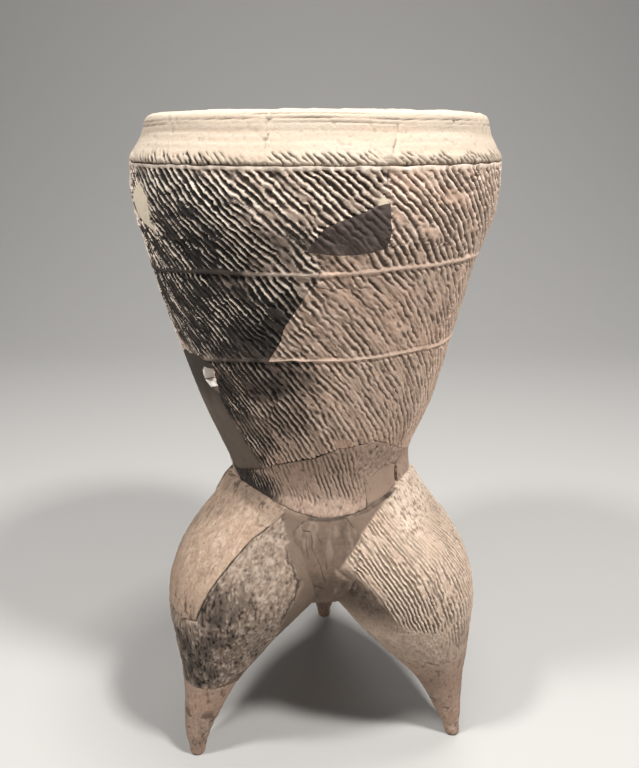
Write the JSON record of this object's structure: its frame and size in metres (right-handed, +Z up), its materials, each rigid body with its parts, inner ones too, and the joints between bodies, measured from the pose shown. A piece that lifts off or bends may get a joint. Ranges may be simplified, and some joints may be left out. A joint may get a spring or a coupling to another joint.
{
  "type": "earthenware yan steamer",
  "caption": "Cord-marked earthenware steamer: a flared bowl with a turned-in rim on a pinched waist and hollow bag-shaped legs, mended from sherds, with a lift-out pierced grate inside.",
  "frame": {"origin": "on the floor under the middle of the bowl's shoulder", "axes": "+Z up through the mouth, -Y towards the front as pictured, +X to the right"},
  "size_m": [0.2705, 0.2703, 0.502],
  "materials": {
    "pale_clay": "wiped matt earthenware",
    "tan_clay": "cord-marked matt earthenware",
    "sooty_clay": "cord-marked earthenware with soot",
    "grey_clay": "cord-marked grey earthenware",
    "pink_clay": "worn oxidised earthenware",
    "plaster": "toned matt filling plaster",
    "grate_clay": "matt earthenware"
  },
  "bodies": {
    "vessel": {"rim_front_sherd": "pale_clay", "rim_ring": "pale_clay", "soot_wall_sherd": "sooty_clay", "dark_inset_sherd": "grey_clay", "front_wall_sherd": "tan_clay", "lower_wall_sherd": "tan_clay", "back_wall_sherd": "tan_clay", "left_edge_fill": "plaster", "lower_left_fill": "plaster", "corner_fill": "plaster", "waist_band": "tan_clay", "waist_fill": "plaster", "grate_ledge": "tan_clay", "left_leg_pouch": "sooty_clay", "left_leg_outer_sherd": "pale_clay", "right_leg_pouch": "tan_clay", "rear_leg_pouch": "tan_clay", "crotch_web": "tan_clay", "left_foot": "pink_clay", "right_foot": "pink_clay", "rear_foot": "pink_clay"},
    "grate": {"grate": "grate_clay"}
  },
  "joints": [
    {"name": "grate_lift", "type": "slide", "parent": "vessel", "child": "grate", "axis": [0, 0, 1], "range_m": [0, 0.28]}
  ]
}
